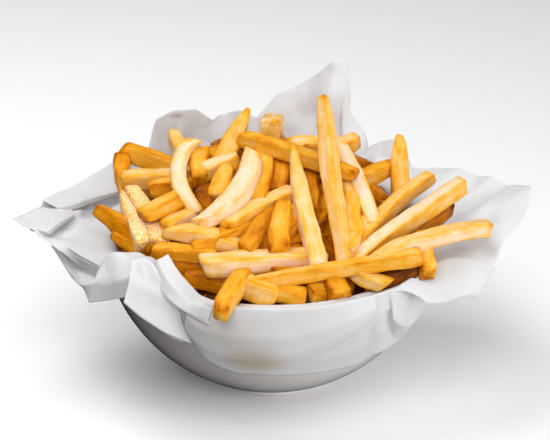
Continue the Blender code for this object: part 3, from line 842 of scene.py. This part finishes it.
def build_paper():
    """The crumpled sheet, lofted finely, faceted and thickened."""
    material = paper_material()
    build_layers(material)
    points = sheet_grid()
    rows = points.shape[1]
    vertices = [tuple(v) for v in points.reshape(-1, 3)]
    faces = []
    for column in range(PAPER_COLUMNS):
        here = column * rows
        following = ((column + 1) % PAPER_COLUMNS) * rows
        for row in range(rows - 1):
            faces.append((here + row, here + row + 1, following + row + 1, following + row))
    centre = len(vertices)
    vertices.append(tuple(polar(0, *cavity_point(0.0, PAPER_CLEAR + PAPER_THICK / 2))))
    faces += [(centre, c * rows, ((c + 1) % PAPER_COLUMNS) * rows) for c in range(PAPER_COLUMNS)]
    paper_piece("paper_sheet", vertices, faces, material)


def keep_outside_bowl(points, first_free):
    """Pushes what hangs outside the bowl clear of its wall."""
    centre = np.array([0.0, 0.0, SPHERE_Z])
    outside = points[:, first_free + WALL_GAP_FROM_ROW:, :]
    offset = outside - centre
    distance = np.linalg.norm(offset, axis=2, keepdims=True)
    low = outside[:, :, 2:3] < RIM_Z
    closest = SPHERE_R + WALL_GAP
    push = np.where(low & (distance < closest), closest / distance, 1.0)
    points[:, first_free + WALL_GAP_FROM_ROW:, :] = centre + offset * push


# ================ fries

def fry_section(corner):
    """A square of half width 1 with rounded corners, as x, y, how near a corner, and which side (0 to 3)."""
    outline = []
    for quarter in range(4):
        turn = math.pi / 2 * quarter
        cos, sin = round(math.cos(turn)), round(math.sin(turn))
        flat = [(1.0, -(1.0 - corner) / 3, 0.0, quarter), (1.0, (1.0 - corner) / 3, 0.0, quarter)]
        arc = []
        for step in range(4):
            angle = math.pi / 2 * step / 3
            near = 1.0 if step in (1, 2) else 0.6
            arc.append((1.0 - corner + corner * math.cos(angle), 1.0 - corner + corner * math.sin(angle),
                        near, quarter + step / 3))
        for x, y, near, side in flat + arc:
            outline.append((x * cos - y * sin, x * sin + y * cos, near, side))
    return np.array(outline)


def fry_arrays(tail, tip, thick, bow, roll, tone, tail_left, tip_left, seed):
    """Vertices, faces, grain and crust of one fry: rounded square rings along a bowed path."""
    draw = random.Random(seed)
    start = np.array((tail[0], tail[1], tail[2] + RIM_Z), float)
    end = np.array((tip[0], tip[1], tip[2] + RIM_Z), float)
    length = float(np.linalg.norm(end - start))
    forward = (end - start) / length
    up = np.array((0.0, 0.0, 1.0)) - forward * forward[2]
    if np.linalg.norm(up) < 0.05:
        up = np.array((0.0, 1.0, 0.0))
    up /= np.linalg.norm(up)
    side = np.cross(up, forward)
    turn = math.radians(roll)
    twist = math.radians(draw.uniform(-16, 16))
    section = fry_section(draw.uniform(0.20, 0.42))
    wobble = draw.uniform(0.3, 1.2)
    phase = draw.uniform(0, math.tau)
    wedge = (draw.uniform(-0.12, 0.12), draw.uniform(-0.10, 0.10))
    flatness = draw.uniform(0.86, 1.06)
    slant = [(draw.uniform(-0.35, 0.35), draw.uniform(-0.35, 0.35)) for _ in range(2)]
    offset = (draw.uniform(0, 900), draw.uniform(0, 900), draw.uniform(0, 900))
    side_tone = [draw.uniform(-FACE_TONES, FACE_TONES) for _ in range(4)]
    side_tone.append(side_tone[0])
    near_side = np.interp(section[:, 3] % 4, range(5), side_tone)
    cap = min(1.5, 0.06 * length)
    inner = [cap + (length - 2 * cap) * i / (FRY_RINGS - 5) for i in range(FRY_RINGS - 4)]
    stations = [0.0, cap * 0.35] + inner + [length - cap * 0.35, length]
    shrink = [0.76, 0.93] + [1.0] * len(inner) + [0.93, 0.76]
    vertices, grain, crust = [], [], []
    for distance, inset in zip(stations, shrink):
        share = distance / length
        path = start + forward * distance + np.array(bow, float) * (1 - (2 * share - 1) ** 2)
        path = path + side * wobble * math.sin(phase + 4.2 * share) * math.sin(math.pi * share)
        from_tail = min(1.0, distance / min(12.0 + 30.0 * (1 - tail_left), length * 0.6))
        from_tip = min(1.0, (length - distance) / min(12.0 + 30.0 * (1 - tip_left), length * 0.6))
        narrow = (tail_left + (1 - tail_left) * math.sin(math.pi / 2 * from_tail) ** 0.8)
        narrow *= tip_left + (1 - tip_left) * math.sin(math.pi / 2 * from_tip) ** 0.8
        around = turn + twist * (share - 0.5)
        half = thick / 2 * inset
        x = section[:, 0] * half * narrow * (1.0 + wedge[0] * (2 * share - 1))
        height = half * flatness * (0.35 + 0.65 * narrow)
        y = section[:, 1] * height * (1.0 + wedge[1] * (2 * share - 1))
        near_end = max(0.0, 1.0 - abs(min(distance, length - distance) - 1.0) / 3.5) ** 1.5
        tilt = slant[0] if share < 0.5 else slant[1]
        push = (tilt[0] * x + tilt[1] * y) * (1.0 - min(1.0, min(distance, length - distance) / 9.0))
        for k in range(len(x)):
            spot = Vector((distance * 0.11 + offset[0], x[k] * 0.22 + offset[1], y[k] * 0.22 + offset[2]))
            bulge = 1.0 + FRY_LUMPS * noise.noise(spot)
            px, py = x[k] * bulge, y[k] * bulge
            vertices.append(path + side * (px * math.cos(around) - py * math.sin(around))
                            + up * (px * math.sin(around) + py * math.cos(around)) + forward * push[k])
            grain.append((distance + offset[0], x[k] + offset[1], y[k] + offset[2]))
            crust.append((tone + near_side[k], section[k, 2], near_end))
    count = len(stations)
    sides = len(section)
    faces = []
    for ring in range(count - 1):
        for k in range(sides):
            a = ring * sides + k
            b = ring * sides + (k + 1) % sides
            faces.append((a, b, b + sides, a + sides))
    faces.append(tuple(reversed(range(sides))))
    faces.append(tuple((count - 1) * sides + k for k in range(sides)))
    return vertices, faces, grain, crust


def join_fries(name, rows, material, first_seed):
    """One piece of many fries."""
    vertices, faces, grain, crust = [], [], [], []
    for index, row in enumerate(rows):
        v, f, g, c = fry_arrays(*row, seed=first_seed + index)
        base = len(vertices)
        vertices += v
        faces += [tuple(i + base for i in face) for face in f]
        grain += g
        crust += c
    piece = new_piece(name, vertices, faces, material, "fries_heap")
    write_vectors(piece, "grain", grain)
    write_vectors(piece, "crust", crust)


def fill_fries():
    """Fries that lie in layers just under the surface of the mound, in scattered directions, darker the
    deeper they lie as painted shade.
    """
    draw = random.Random(21)
    rows = []
    furthest = MOUND_R - FILL_EDGE
    for depth, count, tone in FILL_LAYERS:
        sunk = depth + FILL_HALF_THICK
        for index in range(count):
            radius = MOUND_R * FILL_REACH * math.sqrt((index + 0.5) / count)
            azimuth = (index * GOLDEN_ANGLE + depth * 40) % 360
            centre = polar(azimuth, radius, mound_height(azimuth, radius) - sunk)
            heading = draw.uniform(0, math.pi)
            half = draw.uniform(15, 30)
            tone_here = tone + draw.uniform(-0.2, 0.2)
            ends = []
            for sign in (-1, 1):
                x = centre.x + sign * half * math.cos(heading)
                y = centre.y + sign * half * math.sin(heading)
                far = math.hypot(x, y)
                if far > furthest:
                    x, y = x * furthest / far, y * furthest / far
                    far = furthest
                surface = mound_height(math.degrees(math.atan2(y, x)), far) - sunk
                ends.append((x, y, surface + draw.uniform(-2, 1)))
            rows.append((ends[0], ends[1], draw.uniform(8, 10), (0, 0, draw.uniform(0, 2)),
                         draw.uniform(-30, 30), tone_here, draw.uniform(0.5, 1), draw.uniform(0.5, 1)))
    return rows


def back_fries():
    """The fan of fries on the far side: tail near the crown, tip towards the rim."""
    draw = random.Random(5)
    rows = []
    for index in range(BACK_FRIES):
        azimuth = math.radians(BACK_FROM + BACK_STEP * index)
        turned = azimuth + math.radians(BACK_TURN[index % 3])
        reach = BACK_REACH[index % 3]
        tip = (reach * math.cos(azimuth), reach * math.sin(azimuth), BACK_TIP[index % 3])
        tail = (BACK_CROWN_R * math.cos(turned), BACK_CROWN_R * math.sin(turned) + 4, MOUND_TOP - 2)
        rows.append((tail, tip, draw.uniform(8.3, 9.6), (0, 0, 3), draw.uniform(-20, 20),
                     draw.uniform(0.2, 0.6), 0.9, draw.uniform(0.5, 1.0)))
    return rows


def build_core():
    """The smaller mound under the fries, dark brown as painted shade in the gaps between them."""
    turns = CORE_TURNS
    vertices = [tuple(polar(0, 0, MOUND_TOP - CORE_SHRINK))]
    top_tilt = cavity_tilt(CORE_LOW, HEAP_CLEAR)
    for ring in range(1, CORE_RINGS + 1):
        radius = (MOUND_R - 1.5) * ring / CORE_RINGS
        for turn in range(turns):
            azimuth = 360.0 * turn / turns
            height = mound_height(azimuth, radius) - CORE_SHRINK
            ripple = noise.noise(Vector((radius * 0.15, azimuth * 0.06, 3.0)))
            vertices.append(tuple(polar(azimuth, radius, max(CORE_LOW, height + 1.5 * ripple))))
    for ring in range(1, CORE_WALL_RINGS + 1):
        radius, height = cavity_point(top_tilt * (1 - ring / (CORE_WALL_RINGS + 1)), HEAP_CLEAR)
        for turn in range(turns):
            vertices.append(tuple(polar(360.0 * turn / turns, radius, height)))
    vertices.append(tuple(polar(0, *cavity_point(0.0, HEAP_CLEAR))))
    levels = CORE_RINGS + CORE_WALL_RINGS
    faces = [(0, 1 + t, 1 + (t + 1) % turns) for t in range(turns)]
    for level in range(levels - 1):
        for t in range(turns):
            a = 1 + level * turns + t
            b = 1 + level * turns + (t + 1) % turns
            faces.append((a, a + turns, b + turns, b))
    low = 1 + (levels - 1) * turns
    faces += [(low + t, len(vertices) - 1, low + (t + 1) % turns) for t in range(turns)]
    piece = new_piece("fries_core", vertices, faces, fries_material("fried_core"),
                      "fries_heap")
    write_vectors(piece, "grain", vertices)
    write_vectors(piece, "crust", [(CORE_SHADE_TONE, 0.0, 0.0)] * len(vertices))


def build_fries():
    """The heap: the listed fries over the filling ones."""
    material = fries_material("fried_potato")
    rough = [FRIES[index] for index in ROUGH_FRIES]
    plain = [row for row in FRIES if row not in rough]
    join_fries("fries_top", plain, material, 100)
    join_fries("fries_rough_skin", rough, fries_material("fried_potato_rough", speckled=True), 300)
    join_fries("fries_below", fill_fries() + back_fries(), material, 500)
    build_core()


# ================ studio

def build_floor():
    """A wide pale floor just under the foot."""
    mesh = bpy.data.meshes.new("floor")
    half = FLOOR_HALF
    corners = [(-half, -half, 0), (half, -half, 0), (half, half, 0), (-half, half, 0)]
    mesh.from_pydata(corners, [], [(0, 1, 2, 3)])
    mesh.materials.append(floor_material())
    floor = bpy.data.objects.new("floor", mesh)
    bpy.context.scene.collection.objects.link(floor)
    floor.visible_diffuse = False
    floor.visible_glossy = False


def area_light(name, place, size, power):
    """A soft square light aimed at the portion."""
    data = bpy.data.lights.new(name, "AREA")
    data.shape = "SQUARE"
    data.size = size
    data.energy = power
    light = bpy.data.objects.new(name, data)
    light.location = place
    light.rotation_euler = (Vector(LIGHT_AIM) - Vector(place)).to_track_quat("-Z", "Y").to_euler()
    bpy.context.scene.collection.objects.link(light)


def build_lights():
    """Soft lights from the upper left, the right and the front, and a surround that is dark at the left."""
    for name, (place, size, power) in LIGHTS.items():
        area_light(name, place, size, power)
    world = bpy.data.worlds.new("surround")
    bpy.context.scene.world = world
    world.use_nodes = True
    tree = world.node_tree
    background = tree.nodes["Background"]
    background.inputs["Color"].default_value = (1.0, 1.0, 1.0, 1.0)
    place = tree.nodes.new("ShaderNodeTexCoord")
    facing = tree.nodes.new("ShaderNodeVectorMath")
    facing.operation = "DOT_PRODUCT"
    facing.inputs[1].default_value = SURROUND_AXIS
    shade = tree.nodes.new("ShaderNodeMapRange")
    for key, value in zip(("From Min", "From Max", "To Min", "To Max"), SURROUND_RANGE):
        shade.inputs[key].default_value = value
    tree.links.new(place.outputs["Generated"], facing.inputs[0])
    tree.links.new(facing.outputs["Value"], shade.inputs["Value"])
    tree.links.new(shade.outputs["Result"], background.inputs["Strength"])



def build_camera():
    """The camera, in front of the portion and a little above it."""
    data = bpy.data.cameras.new("camera")
    data.lens = CAMERA_LENS
    data.sensor_width = CAMERA_SENSOR
    camera = bpy.data.objects.new("camera", data)
    lift = math.radians(CAMERA_ELEVATION)
    camera.location = (
        CAMERA_AIM[0],
        CAMERA_AIM[1] - CAMERA_DISTANCE * math.cos(lift),
        CAMERA_AIM[2] + CAMERA_DISTANCE * math.sin(lift),
    )
    camera.rotation_euler = (math.pi / 2 - lift, 0.0, 0.0)
    bpy.context.scene.collection.objects.link(camera)
    bpy.context.scene.camera = camera


bpy.context.scene.view_settings.view_transform = "Standard"
build_bowl()
build_paper()
build_fries()
build_floor()
build_lights()
build_camera()
